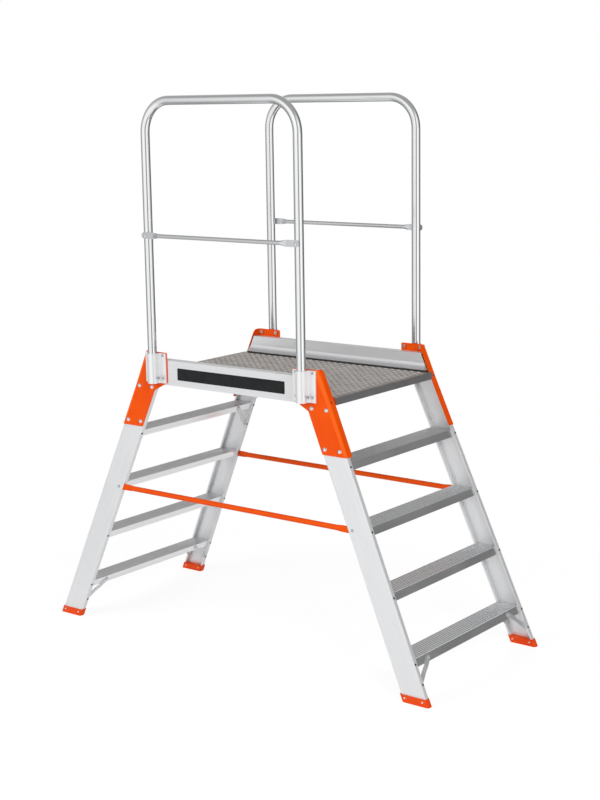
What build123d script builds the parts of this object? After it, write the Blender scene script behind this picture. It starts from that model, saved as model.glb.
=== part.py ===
from build123d import *
import os
from math import cos, radians, sin, tan

os.makedirs("parts", exist_ok=True)

# Double-sided step platform, millimetres and degrees, +Z up
# X runs up one flight, over the deck and down the other, Y runs across, the floor is Z = 0
# Each corner piece is drawn at the near right corner (-Y, +X) and mirrored to the others

# Flights
tread_count = 4
first_rise = 160.0
rise = 229.0
flight_lean = 23.5
side_flare = 2.2
half_width = 358.0
stile_front_at_deck = 470.0

# Stiles: a channel whose two flanges are hollow chambers
stile_depth = 98.0
stile_width = 20.0
stile_web = 2.4
stile_chamber = 7.0
stile_wall = 1.8
stile_corner = 5.5
stile_hollow_corner = 1.0

# Treads: a ribbed plate with two slanting lips
tread_lip = 28.0
tread_plate = 2.5
tread_wall = 2.4
tread_rib_count = 9
tread_rib_width = 4.0
tread_rib_height = 1.6

# Deck and what carries it
deck_sheet = 4.0
deck_lip = 28.0
deck_bend = 6.0
deck_overhang = 18.0
deck_side_gap = 1.0
beam_drop = 28.0
beam_height = 101.0
beam_wall = 3.0
beam_thickness = 34.0
beam_foot = 50.0
beam_foot_height = 16.0
beam_cove = 24.0
beam_foot_gap = 7.0
beam_flange = 50.0
beam_edge = 4.0
bearer_count = 4
bearer_width = 40.0
bearer_wall = 2.0
bearer_end_gap = 5.0

# Gussets: folded sheet that joins stile, beam and post socket
gusset_sheet = 3.0
gusset_fold = 37.0
gusset_drop = 210.0
gusset_kink_drop = 55.0
gusset_margin = 3.0
gusset_slope = 37.0
gusset_tip = 18.0
gusset_corner = 6.0

# Post sockets
socket_height = 120.0
socket_drop = 21.0
socket_flange_width = 106.0
socket_flange = 5.0
socket_wall = 3.5
socket_floor = 6.0
socket_drain = 14.0
socket_root = 6.0
socket_front_margin = 2.0

# Handrail hoops
rail_diameter = 35.0
rail_wall = 2.0
rail_height = 1100.0
rail_bend = 122.0
mid_rail_height = 567.0
post_play = 0.3

# Mid rails and struts: round bars with flattened ends
mid_rail_diameter = 16.0
strut_diameter = 21.0
bar_flat_width = 25.0
bar_flat_thickness = 5.0
bar_taper = 27.0
bar_end = 16.0
mid_rail_flat = 60.0
strut_flat = 66.0
strut_tread_count = 3
strut_drop = 19.0
strut_bolt_edge = 20.0
strut_slot_play = 1.2

# Knee braces between a tread's lip and the stile
brace_width = 19.0
brace_thickness = 3.0
brace_reach = 104.0
lower_brace_drop = 84.0
upper_brace_drop = 104.0
brace_web_gap = 2.0
brace_joggle_start = 40.0
brace_joggle = 30.0

# Shoes
shoe_height = 28.0
shoe_wall = 4.0
shoe_floor = 5.0
shoe_corner = 9.0

# Fasteners
bolt_shank = 8.0
bolt_head = 18.0
bolt_dome = 6.5
small_head = 12.0
small_dome = 3.5
bolt_play = 0.3
nut_flats = 13.0
nut_height = 6.5
low_nut_height = 3.0
bolt_tail = 2.0
gusset_bolt_edge = 18.0
gusset_bolt_top_edge = 15.0
gusset_bolt_low_edge = 21.0
socket_bolt_edge = 14.0
socket_bolt_top_edge = 9.0
socket_bolt_low_edge = 19.0
clamp_screw_shank = 6.0
clamp_screw_flats = 10.0
clamp_screw_head = 4.5
clamp_screw_rise = 23.0
clamp_screw_stand = 7.0
rivet_shank = 6.0
rivet_head = 12.0
rivet_dome = 3.0
fit = 0.15

# Heights and slopes that follow
lean = radians(flight_lean)
flare = radians(side_flare)
deck_height = first_rise + tread_count * rise
beam_bottom = deck_height - beam_drop
beam_top = beam_bottom + beam_height
foot_bottom = deck_height + beam_foot_gap
foot_top = foot_bottom + beam_foot_height
gusset_bottom = deck_height - gusset_drop
socket_bottom = deck_height - socket_drop
socket_top = socket_bottom + socket_height
gusset_top = socket_top + gusset_margin
stile_bottom = shoe_floor + fit
stile_top = beam_bottom - fit
tread_tops = [first_rise + level * rise for level in range(tread_count)]
strut_height = tread_tops[strut_tread_count - 1] - strut_drop

# The stile's slope, the normal of its front face and the same run without the flare
stile_slope = Vector(-tan(lean), tan(flare), 1)
upright_slope = Vector(-tan(lean), 0, 1)
front_normal = Vector(cos(lean), 0, sin(lean))
stile_run = stile_depth / cos(lean)
chamber_run = stile_chamber / cos(lean)
wall_run = stile_wall / cos(lean)
sheet_run = gusset_sheet / cos(lean)
fit_run = fit / cos(lean)


def front(z):
    return stile_front_at_deck + (deck_height - z) * tan(lean)


def behind(z, depth):
    return front(z) - depth / cos(lean)


def side(z):
    return half_width + (beam_bottom - z) * tan(flare)


def side_plane(inset):
    origin = (0, inset - half_width, beam_bottom)
    return Plane(origin=origin, x_dir=(1, 0, 0), z_dir=(0, -cos(flare), sin(flare)))


def on_side(x, z):
    return (x, (z - beam_bottom) / cos(flare))


def upright_plane(y):
    return Plane(origin=(0, y, 0), x_dir=(1, 0, 0), z_dir=(0, -1, 0))


def across(x, y, z):
    return Plane(origin=(x, y, z), x_dir=(0, 1, 0), z_dir=(1, 0, 0))


def side_bolt_planes(x, z, outward):
    planes = []
    for flight in (1, -1):
        for hand in (-1, 1):
            normal = Vector(0, hand * cos(flare), sin(flare))
            origin = Vector(flight * x, hand * side(z), z) + normal * outward
            planes.append(Plane(origin=origin, z_dir=normal))
    return planes


def nut_planes(bolt_planes, grip):
    return [Plane(origin=plane.offset(-grip).origin, z_dir=-plane.z_dir) for plane in bolt_planes]


def save(piece, name):
    piece.label = name
    export_step(piece, f"parts/{name}.step")


def save_corners(piece, name):
    far_piece = mirror(piece, about=Plane.XZ)
    save(piece, f"{name}_near_right")
    save(mirror(piece, about=Plane.YZ), f"{name}_near_left")
    save(far_piece, f"{name}_far_right")
    save(mirror(far_piece, about=Plane.YZ), f"{name}_far_left")


def save_sides(piece, name):
    save(piece, f"{name}_near")
    save(mirror(piece, about=Plane.XZ), f"{name}_far")


# Post position: the socket flange ends just behind the stile's front line
post_x = front(socket_top) - socket_flange_width / 2 - socket_front_margin
rail_radius = rail_diameter / 2
bore_radius = rail_radius + post_play
housing_radius = bore_radius + socket_wall
socket_seat = half_width + gusset_sheet + 2 * fit
flange_face = socket_seat + socket_flange
post_y = socket_seat + housing_radius
post_bottom = socket_bottom + socket_floor + post_play
rail_axis = deck_height + rail_height - rail_radius
mid_rail_axis = deck_height + mid_rail_height

# Fastener places, one per corner
gusset_bolt_heights = (gusset_bottom + gusset_bolt_low_edge, beam_bottom - gusset_bolt_top_edge)
gusset_bolt_depths = (gusset_bolt_edge, stile_depth - gusset_bolt_edge)
gusset_bolt_points = [(behind(z, depth), z) for z in gusset_bolt_heights for depth in gusset_bolt_depths]
socket_bolt_offset = socket_flange_width / 2 - socket_bolt_edge
socket_bolt_top = socket_top - socket_bolt_top_edge
socket_bolt_low = socket_bottom + socket_bolt_low_edge
socket_bolt_xs = (post_x - socket_bolt_offset, post_x + socket_bolt_offset)
strut_bolt_x = behind(strut_height, stile_depth - strut_bolt_edge)
clamp_height = socket_bottom + clamp_screw_rise
bolt_hole = bolt_shank / 2 + bolt_play
clamp_hole = clamp_screw_shank / 2 + bolt_play
rivet_hole = rivet_shank / 2 + bolt_play

# The strut's flat end is upright and the web leans, so it keeps clear of the web's upper end
strut_flat_half = bar_flat_width / 2
strut_lean_gap = strut_flat_half * tan(flare) + fit
strut_inset = stile_web + strut_lean_gap + bar_flat_thickness / 2
strut_inside = strut_inset + bar_flat_thickness / 2 + strut_slot_play
strut_bolt_z = strut_height + strut_inset * tan(flare)
slot_low = strut_height - strut_flat_half - strut_slot_play
slot_high = strut_height + strut_flat_half + strut_slot_play

# Stile
stile_length = (stile_top - stile_bottom) * stile_slope.length
stile_middle = front(stile_bottom) - stile_run / 2
stile_outer = -side(stile_bottom)
with BuildPart() as stile:
    with BuildSketch(Plane.XY.offset(stile_bottom)) as stile_profile:
        with Locations((stile_middle, stile_outer + stile_width / 2)):
            Rectangle(stile_run, stile_width)
        fillet(stile_profile.vertices().group_by(Axis.Y)[0], stile_corner)
        with Locations((stile_middle, stile_outer + (stile_width + stile_web) / 2)):
            Rectangle(stile_run - 2 * chamber_run, stile_width - stile_web, mode=Mode.SUBTRACT)
        chamber_shift = (stile_run - chamber_run) / 2
        hollow_run = chamber_run - 2 * wall_run
        hollow_width = stile_width - 2 * stile_wall
        for chamber_x in (stile_middle - chamber_shift, stile_middle + chamber_shift):
            with Locations((chamber_x, stile_outer + stile_width / 2)):
                RectangleRounded(hollow_run, hollow_width, stile_hollow_corner, mode=Mode.SUBTRACT)
    extrude(amount=stile_length, dir=stile_slope)
    # Slot in the rear chamber that lets the strut's flat end reach the web
    slot_front = stile_depth - stile_chamber - strut_slot_play
    slot_rear = stile_depth + strut_slot_play
    with BuildSketch(side_plane(stile_web)):
        with BuildLine():
            Polyline(
                on_side(behind(slot_low, slot_front), slot_low),
                on_side(behind(slot_low, slot_rear), slot_low),
                on_side(behind(slot_high, slot_rear), slot_high),
                on_side(behind(slot_high, slot_front), slot_high),
                close=True,
            )
        make_face()
    extrude(amount=strut_inside - stile_web, dir=(0, 1, 0), mode=Mode.SUBTRACT)
    web_holes = [side_bolt_planes(x, z, 0)[0] for x, z in gusset_bolt_points]
    web_holes.append(side_bolt_planes(strut_bolt_x, strut_bolt_z, 0)[0])
    with Locations(*web_holes):
        Hole(bolt_hole, depth=stile_web + fit)
save_corners(stile.part, "stile")

# Shoe: a moulded cup round the stile's foot, with a block that fills the channel
shoe_slip = shoe_wall + fit
with BuildPart() as shoe:
    with BuildSketch(Plane.XY) as shoe_outline:
        with Locations((front(0) - stile_run / 2, stile_width / 2 - side(0))):
            Rectangle(stile_run + 2 * shoe_slip / cos(lean), stile_width + 2 * shoe_slip)
        fillet(shoe_outline.vertices(), shoe_corner)
    extrude(amount=shoe_height * stile_slope.length, dir=stile_slope)
    foot_middle = front(shoe_floor) - stile_run / 2
    foot_outer = -side(shoe_floor)
    with BuildSketch(Plane.XY.offset(shoe_floor)):
        with Locations((foot_middle, foot_outer + stile_width / 2)):
            Rectangle(stile_run + 2 * fit_run, stile_width + 2 * fit)
        with Locations((foot_middle, foot_outer + stile_web + fit)):
            Rectangle(
                stile_run - 2 * chamber_run - 2 * fit_run,
                stile_width,
                align=(Align.CENTER, Align.MIN),
                mode=Mode.SUBTRACT,
            )
    extrude(amount=shoe_height * stile_slope.length, dir=stile_slope, mode=Mode.SUBTRACT)
save_corners(shoe.part, "shoe")


# Tread: the lips slant with the stile, so that they bear on the inner faces of its chambers
def make_tread(top):
    plate_top = top - tread_rib_height
    lip_bottom = top - tread_lip
    front_depth = stile_chamber + fit
    rear_depth = stile_depth - stile_chamber - fit
    under = plate_top - tread_plate
    lip_inside = tread_wall * cos(lean)
    rib_start = behind(plate_top, rear_depth) + tread_rib_width / 2
    rib_end = behind(top, front_depth) - tread_rib_width / 2
    rib_pitch = (rib_end - rib_start) / (tread_rib_count - 1)
    length = 2 * side(lip_bottom)
    with BuildPart() as tread:
        with BuildSketch(upright_plane(0)):
            with BuildLine():
                Polyline(
                    (behind(plate_top, front_depth), plate_top),
                    (behind(plate_top, rear_depth), plate_top),
                    (behind(lip_bottom, rear_depth), lip_bottom),
                    (behind(lip_bottom, rear_depth - lip_inside), lip_bottom),
                    (behind(under, rear_depth - lip_inside), under),
                    (behind(under, front_depth + lip_inside), under),
                    (behind(lip_bottom, front_depth + lip_inside), lip_bottom),
                    (behind(lip_bottom, front_depth), lip_bottom),
                    close=True,
                )
            make_face()
            for rib in range(tread_rib_count):
                with Locations((rib_start + rib * rib_pitch, plate_top)):
                    Rectangle(
                        tread_rib_width,
                        tread_rib_height,
                        align=(Align.CENTER, Align.MIN),
                    )
        extrude(amount=length / 2, both=True)
        split(bisect_by=side_plane(stile_web + fit), keep=Keep.BOTTOM)
        far_end = Plane(
            origin=(0, half_width - stile_web - fit, beam_bottom),
            z_dir=(0, cos(flare), sin(flare)),
        )
        split(bisect_by=far_end, keep=Keep.BOTTOM)
        # Notches in the rear lip for the struts' flat ends
        for hand in (-1, 1):
            with BuildSketch(Plane.YZ):
                with Locations((hand * side(strut_height), strut_height)):
                    Rectangle(2 * strut_inside, slot_high - slot_low)
            extrude(amount=strut_bolt_x + bar_end + strut_slot_play, mode=Mode.SUBTRACT)
    return tread.part


for level, top in enumerate(tread_tops, start=1):
    tread_piece = make_tread(top)
    save(tread_piece, f"tread_right_{level}")
    save(mirror(tread_piece, about=Plane.YZ), f"tread_left_{level}")


# Side beam: skirting above the deck, hollow, with a coved foot and a flange for deck and bearers
outer = -half_width
with BuildPart() as beam:
    with BuildSketch(Plane.YZ) as beam_profile:
        with BuildLine():
            Polyline(
                (outer, beam_bottom),
                (outer, beam_top),
                (outer + beam_thickness, beam_top),
                (outer + beam_thickness, foot_top),
                (outer + beam_foot, foot_bottom + beam_wall),
                (outer + beam_foot, foot_bottom),
                (outer + beam_wall, foot_bottom),
                (outer + beam_wall, beam_bottom + beam_wall),
                (outer + beam_flange, beam_bottom + beam_wall),
                (outer + beam_flange, beam_bottom),
                close=True,
            )
        make_face()
        fillet(beam_profile.vertices().sort_by_distance((outer, beam_top))[0], beam_edge)
        cove_corner = (outer + beam_thickness, foot_top)
        fillet(beam_profile.vertices().sort_by_distance(cove_corner)[0], beam_cove)
        chamber_height = beam_top - foot_bottom - 2 * beam_wall
        with Locations((outer + beam_thickness / 2, foot_bottom + beam_wall + chamber_height / 2)):
            Rectangle(beam_thickness - 2 * beam_wall, chamber_height, mode=Mode.SUBTRACT)
    extrude(amount=front(beam_bottom), both=True)
    # Both ends stop short of the bend in the gusset's fold
    beam_end = behind(beam_bottom, stile_corner + fit)
    for flight in (1, -1):
        end_normal = (flight * cos(lean), 0, sin(lean))
        end_plane = Plane(origin=(flight * beam_end, 0, beam_bottom), z_dir=end_normal)
        split(bisect_by=end_plane, keep=Keep.BOTTOM)
    beam_hole_xs = [flight * x for flight in (1, -1) for x in socket_bolt_xs]
    with Locations(*[Plane(origin=(x, outer, socket_bolt_low), z_dir=(0, -1, 0)) for x in beam_hole_xs]):
        Hole(bolt_hole, depth=beam_wall + fit)
save_sides(beam.part, "side_beam")

# Deck: tread plate folded down on all four sides
deck_half_length = stile_front_at_deck + deck_overhang
fold_inside = half_width + fit + gusset_sheet - gusset_fold
deck_half_width = fold_inside - deck_side_gap
deck_seat = beam_bottom + beam_wall + fit
with BuildPart() as deck:
    with BuildSketch(upright_plane(0)) as deck_profile:
        with BuildLine():
            Polyline(
                (-deck_half_length, deck_height - deck_lip),
                (-deck_half_length, deck_height),
                (deck_half_length, deck_height),
                (deck_half_length, deck_height - deck_lip),
                (deck_half_length - deck_sheet, deck_height - deck_lip),
                (deck_half_length - deck_sheet, deck_height - deck_sheet),
                (deck_sheet - deck_half_length, deck_height - deck_sheet),
                (deck_sheet - deck_half_length, deck_height - deck_lip),
                close=True,
            )
        make_face()
        for flight in (1, -1):
            outer_corner = (flight * deck_half_length, deck_height)
            inner_corner = (flight * (deck_half_length - deck_sheet), deck_height - deck_sheet)
            fillet(deck_profile.vertices().sort_by_distance(outer_corner)[0], deck_bend)
            fillet(deck_profile.vertices().sort_by_distance(inner_corner)[0], deck_bend - deck_sheet)
    extrude(amount=deck_half_width, both=True)
    # The long sides stand on the beams' lower flanges
    with BuildSketch(Plane.XY.offset(deck_seat)):
        for hand in (-1, 1):
            with Locations((0, hand * (deck_half_width - deck_sheet / 2))):
                Rectangle(2 * (deck_half_length - deck_sheet), deck_sheet)
    extrude(amount=deck_height - deck_sheet - deck_seat)
save(deck.part, "deck_plate")

# Deck bearers: box sections between the deck's long sides, standing on the beams' lower flanges
bearer_top = deck_height - deck_sheet - fit
bearer_height = bearer_top - deck_seat
bearer_end = stile_front_at_deck - bearer_width / 2 - bearer_end_gap
bearer_step = 2 * bearer_end / (bearer_count - 1)
for number in range(bearer_count):
    bearer_x = number * bearer_step - bearer_end
    with BuildPart() as bearer:
        with BuildSketch(upright_plane(0)):
            with Locations((bearer_x, deck_seat + bearer_height / 2)):
                Rectangle(bearer_width, bearer_height)
                Rectangle(bearer_width - 2 * bearer_wall, bearer_height - 2 * bearer_wall, mode=Mode.SUBTRACT)
        extrude(amount=deck_half_width - deck_sheet - fit, both=True)
    save(bearer.part, f"deck_bearer_{number + 1}")


# Gusset: plate on the outer faces, folded round the stile's front edge over its whole height
def gusset_profile(z, plate_run):
    plate_outer = -side(z) - fit - gusset_sheet
    fold_back = front(z) + fit_run
    fold_front = fold_back + sheet_run
    return [
        (front(z) - plate_run, plate_outer + gusset_sheet),
        (front(z) - plate_run, plate_outer),
        (fold_front, plate_outer),
        (fold_front, plate_outer + gusset_fold),
        (fold_back, plate_outer + gusset_fold),
        (fold_back, plate_outer + gusset_sheet),
    ]


# Above the stile the strip beside the fold is as wide as the fold, and the wing goes on from there
strip_run = gusset_fold / cos(lean)
gusset_inner_x = post_x - socket_flange_width / 2 - gusset_margin
gusset_kink = deck_height - gusset_kink_drop
kink_x = front(gusset_kink) - stile_run
slope_end = gusset_kink + gusset_slope
slope_run = (kink_x - gusset_inner_x) / gusset_slope
waist_x = kink_x - (beam_bottom - gusset_kink) * slope_run
with BuildPart() as gusset:
    for start, end, slope, plate_run in (
        (gusset_bottom, beam_bottom, stile_slope, stile_run),
        (beam_bottom, gusset_top, upright_slope, strip_run),
    ):
        with BuildSketch(Plane.XY.offset(start)) as fold_profile:
            with BuildLine():
                Polyline(*gusset_profile(start, plate_run), close=True)
            make_face()
            outer_corner = (front(start) + fit_run + sheet_run, -side(start) - fit - gusset_sheet)
            inner_corner = (front(start) + fit_run, -side(start) - fit)
            fillet(fold_profile.vertices().sort_by_distance(outer_corner)[0], stile_corner + gusset_sheet)
            fillet(fold_profile.vertices().sort_by_distance(inner_corner)[0], stile_corner)
        extrude(amount=(end - start) * slope.length, dir=slope)
    with BuildSketch(side_plane(-fit)):
        with BuildLine():
            Polyline(
                on_side(kink_x, gusset_kink),
                on_side(waist_x, beam_bottom),
                on_side(front(beam_bottom) - stile_run, beam_bottom),
                close=True,
            )
        make_face()
    extrude(amount=gusset_sheet, dir=(0, -1, 0))
    with BuildSketch(upright_plane(-half_width - fit)):
        with BuildLine():
            Polyline(
                (waist_x, beam_bottom),
                (gusset_inner_x, slope_end),
                (gusset_inner_x, gusset_top),
                (front(gusset_top) - strip_run, gusset_top),
                (front(beam_bottom) - strip_run, beam_bottom),
                close=True,
            )
        make_face()
    extrude(amount=gusset_sheet)
    # Round the fold's upper tip and cut it back to the sheet's own thickness
    fold_edge_y = gusset_fold - gusset_sheet - half_width - fit
    tip_plane = Plane(
        origin=(front(gusset_top) + fit_run, fold_edge_y, gusset_top),
        x_dir=(0, 1, 0),
        z_dir=front_normal,
    )
    with BuildSketch(tip_plane):
        Rectangle(gusset_tip, gusset_tip, align=(Align.MAX, Align.MAX))
        with Locations((-gusset_tip, -gusset_tip)):
            Circle(gusset_tip, mode=Mode.SUBTRACT)
    extrude(amount=2 * gusset_sheet, both=True, mode=Mode.SUBTRACT)
    low_side = -side(gusset_bottom) - fit
    plate_corners = (
        (gusset_inner_x, -half_width - fit, gusset_top),
        (front(gusset_bottom) - stile_run, low_side, gusset_bottom),
    )
    for corner in plate_corners:
        fillet(gusset.edges().filter_by(Axis.Y).sort_by_distance(corner)[0], gusset_corner)
    fold_corner = (front(gusset_bottom) + fit_run, low_side - gusset_sheet + gusset_fold, gusset_bottom)
    fillet(gusset.edges().filter_by(Axis.X).sort_by_distance(fold_corner)[0], gusset_corner)
    with Locations(*[side_bolt_planes(x, z, fit + gusset_sheet)[0] for x, z in gusset_bolt_points]):
        Hole(bolt_hole, depth=gusset_sheet + fit)
    socket_points = [(x, z) for x in socket_bolt_xs for z in (socket_bolt_low, socket_bolt_top)]
    plate_face = -half_width - fit - gusset_sheet
    with Locations(*[Plane(origin=(x, plate_face, z), z_dir=(0, -1, 0)) for x, z in socket_points]):
        Hole(bolt_hole, depth=gusset_sheet + fit)
save_corners(gusset.part, "gusset")

# Post socket: flanged housing, the same piece at all four corners
with BuildPart() as socket:
    with BuildSketch(Plane.XY.offset(socket_bottom)) as socket_profile:
        with Locations((post_x, -socket_seat - socket_flange / 2)):
            Rectangle(socket_flange_width, socket_flange)
        with Locations((post_x, -(socket_seat + post_y) / 2)):
            Rectangle(2 * housing_radius, post_y - socket_seat)
        with Locations((post_x, -post_y)):
            Circle(housing_radius)
        roots = [(post_x + hand * housing_radius, -flange_face) for hand in (-1, 1)]
        for root in roots:
            fillet(socket_profile.vertices().sort_by_distance(root)[0], socket_root)
    extrude(amount=socket_height)
    with Locations((post_x, -post_y, socket_top)):
        Hole(bore_radius, depth=socket_height - socket_floor)
        Hole(socket_drain / 2, depth=socket_height + fit)
    with Locations(*[Plane(origin=(x, -flange_face, z), z_dir=(0, -1, 0)) for x, z in socket_points]):
        Hole(bolt_hole, depth=socket_flange + fit)
    with Locations(across(post_x + housing_radius, -post_y, clamp_height)):
        Hole(clamp_hole, depth=2 * socket_wall)
near_left_socket = Pos(-2 * post_x, 0, 0) * socket.part
save(socket.part, "post_socket_near_right")
save(near_left_socket, "post_socket_near_left")
save(Rot(0, 0, 180) * near_left_socket, "post_socket_far_right")
save(Rot(0, 0, 180) * socket.part, "post_socket_far_left")

# Handrail hoop: one bent tube whose legs stand in two sockets
with BuildPart() as handrail:
    with BuildLine() as hoop_path:
        FilletPolyline(
            (-post_x, -post_y, post_bottom),
            (-post_x, -post_y, rail_axis),
            (post_x, -post_y, rail_axis),
            (post_x, -post_y, post_bottom),
            radius=rail_bend,
        )
    with BuildSketch(Plane.XY.offset(post_bottom)):
        with Locations((-post_x, -post_y)):
            Circle(rail_radius)
            Circle(rail_radius - rail_wall, mode=Mode.SUBTRACT)
    sweep()
    post_face = -post_y - rail_radius
    rivet_holes = [Plane(origin=(x, post_face, mid_rail_axis), z_dir=(0, -1, 0)) for x in (-post_x, post_x)]
    with Locations(*rivet_holes):
        Hole(rivet_hole, depth=2 * rail_wall)
save_sides(handrail.part, "handrail")


# Flattened bar: half of it is drawn and mirrored, the hole takes a bolt or rivet of that size
def make_bar(diameter, hole_x, flat, y, z, hole_radius):
    tip = hole_x + bar_end
    flat_start = tip - flat
    taper_start = flat_start - bar_taper
    with BuildPart() as bar:
        with BuildSketch(across(0, y, z)):
            Circle(diameter / 2)
        extrude(amount=taper_start)
        with BuildSketch(across(taper_start, y, z)):
            Circle(diameter / 2)
        with BuildSketch(across(flat_start, y, z)):
            Rectangle(bar_flat_thickness, bar_flat_width)
        loft()
        with BuildSketch(upright_plane(y)) as flat_outline:
            with Locations((flat_start + flat / 2, z)):
                Rectangle(flat, bar_flat_width)
            fillet(flat_outline.vertices().group_by(Axis.X)[-1], bar_flat_width / 2 - fit)
            with Locations((hole_x, z)):
                Circle(hole_radius, mode=Mode.SUBTRACT)
        extrude(amount=bar_flat_thickness / 2, both=True)
        mirror(about=Plane.YZ)
    return bar.part


mid_rail_y = -post_y - rail_radius - fit - bar_flat_thickness / 2
mid_rail = make_bar(mid_rail_diameter, post_x, mid_rail_flat, mid_rail_y, mid_rail_axis, rivet_hole)
save_sides(mid_rail, "mid_rail")
strut_y = strut_inset - side(strut_height)
strut = make_bar(strut_diameter, strut_bolt_x, strut_flat, strut_y, strut_height, bolt_hole)
save_sides(strut, "strut")


# Knee brace: a joggled strap, in front of the tread's lip at one end and behind the flange at the other
def make_brace(top, drop, at_rear):
    high = top - tread_lip / 2
    low = top - drop
    depth = stile_depth - stile_chamber if at_rear else stile_chamber
    outward = -front_normal if at_rear else front_normal
    low_inset = stile_web + brace_width / 2 + brace_web_gap
    upper_end = Vector(behind(high, depth), brace_reach - side(high), high)
    lower_end = Vector(behind(low, depth), low_inset - side(low), low)
    span = (lower_end - upper_end).length
    along = (lower_end - upper_end).normalized()
    tip = brace_width / 2
    step = brace_thickness + fit
    joggle_end = brace_joggle_start + brace_joggle
    with BuildPart() as brace:
        with BuildSketch(Plane(origin=upper_end, x_dir=along, z_dir=along.cross(outward))):
            with BuildLine():
                Polyline(
                    (-tip, 0),
                    (brace_joggle_start, 0),
                    (joggle_end, -step),
                    (span + tip, -step),
                    (span + tip, brace_thickness - step),
                    (joggle_end, brace_thickness - step),
                    (brace_joggle_start, brace_thickness),
                    (-tip, brace_thickness),
                    close=True,
                )
            make_face()
        extrude(amount=tip, both=True)
        end_edges = brace.edges().filter_by(Axis((0, 0, 0), outward))
        fillet(end_edges, tip - fit)
    return brace.part


for name, at_rear in (("lower_front_braces", False), ("lower_rear_braces", True)):
    with BuildPart() as braces:
        add(make_brace(tread_tops[0], lower_brace_drop, at_rear))
        mirror(about=Plane.XZ)
    save(braces.part, f"right_{name}")
    save(mirror(braces.part, about=Plane.YZ), f"left_{name}")

# The top treads are braced on one side only, the two flights being alike and turned round
upper_brace = make_brace(tread_tops[-1], upper_brace_drop, True)
save(upper_brace, "right_upper_rear_braces")
save(Rot(0, 0, 180) * upper_brace, "left_upper_rear_braces")


# Fasteners, drawn along +Z with the seat of the head at the origin
def make_stud(head, dome, shank, length):
    with BuildPart() as stud:
        with BuildSketch(Plane.XZ):
            with BuildLine():
                TangentArc((0, dome), (head / 2, 0), tangent=(1, 0))
                Polyline((head / 2, 0), (shank / 2, 0), (shank / 2, -length), (0, -length), (0, dome))
            make_face()
        revolve(axis=Axis.Z)
    return stud.part


def make_nut(height):
    with BuildPart() as nut:
        with BuildSketch():
            RegularPolygon(nut_flats / 2, 6, major_radius=False)
            Circle(bolt_shank / 2 + fit, mode=Mode.SUBTRACT)
        extrude(amount=height)
    return nut.part


def make_group(piece, planes):
    with BuildPart() as group:
        with Locations(*planes):
            add(piece)
    return group.part


hex_nut = make_nut(nut_height)
low_nut = make_nut(low_nut_height)
nut_reach = nut_height + bolt_tail + fit

gusset_seat = 2 * fit + gusset_sheet
gusset_grip = gusset_seat + stile_web + fit
gusset_bolt_planes = []
for x, z in gusset_bolt_points:
    gusset_bolt_planes += side_bolt_planes(x, z, gusset_seat)
gusset_bolt = make_stud(bolt_head, bolt_dome, bolt_shank, gusset_grip + low_nut_height)
save(make_group(gusset_bolt, gusset_bolt_planes), "gusset_bolts")
save(make_group(low_nut, nut_planes(gusset_bolt_planes, gusset_grip)), "gusset_nuts")

socket_nut_seats = ((socket_bolt_low, half_width - beam_wall - fit), (socket_bolt_top, half_width))
socket_bolt_planes = []
socket_nut_planes = []
for x in socket_bolt_xs:
    for z, nut_y in socket_nut_seats:
        for flight in (1, -1):
            for hand in (-1, 1):
                head_seat = (flight * x, hand * (flange_face + fit), z)
                nut_seat = (flight * x, hand * nut_y, z)
                socket_bolt_planes.append(Plane(origin=head_seat, z_dir=(0, hand, 0)))
                socket_nut_planes.append(Plane(origin=nut_seat, z_dir=(0, -hand, 0)))
socket_grip = flange_face + fit - half_width + beam_wall + fit
socket_bolt = make_stud(small_head, small_dome, bolt_shank, socket_grip + nut_reach)
save(make_group(socket_bolt, socket_bolt_planes), "socket_bolts")
save(make_group(hex_nut, socket_nut_planes), "socket_nuts")

strut_grip = fit + strut_inset + bar_flat_thickness / 2 + strut_lean_gap
strut_bolt = make_stud(small_head, small_dome, bolt_shank, strut_grip + nut_reach)
strut_bolt_planes = side_bolt_planes(strut_bolt_x, strut_bolt_z, fit)
save(make_group(strut_bolt, strut_bolt_planes), "strut_bolts")
save(make_group(hex_nut, nut_planes(strut_bolt_planes, strut_grip)), "strut_nuts")

# Clamp screws press on the posts and are loosened before a hoop is lifted out
screw_seat = housing_radius + clamp_screw_stand
with BuildPart() as clamp_screw:
    with BuildSketch():
        RegularPolygon(clamp_screw_flats / 2, 6, major_radius=False)
    extrude(amount=clamp_screw_head)
    with BuildSketch():
        Circle(clamp_screw_shank / 2)
    extrude(amount=-(screw_seat - rail_radius - post_play))
clamp_planes = []
for hand in (-1, 1):
    for post in (-post_x, post_x):
        seat = (post - hand * screw_seat, hand * post_y, clamp_height)
        clamp_planes.append(Plane(origin=seat, x_dir=(0, 1, 0), z_dir=(-hand, 0, 0)))
save(make_group(clamp_screw.part, clamp_planes), "post_clamp_screws")

rivet_seat = mid_rail_y - bar_flat_thickness / 2 - fit
rivet_length = bar_flat_thickness + 2 * fit + 2 * rail_wall
rivet = make_stud(rivet_head, rivet_dome, rivet_shank, rivet_length)
rivet_planes = [Plane(origin=(x, rivet_seat, mid_rail_axis), z_dir=(0, -1, 0)) for x in (-post_x, post_x)]
save_sides(make_group(rivet, rivet_planes), "rail_rivets")
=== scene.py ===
import math
import bmesh
import bpy
from mathutils import Euler, Matrix, Vector


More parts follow.
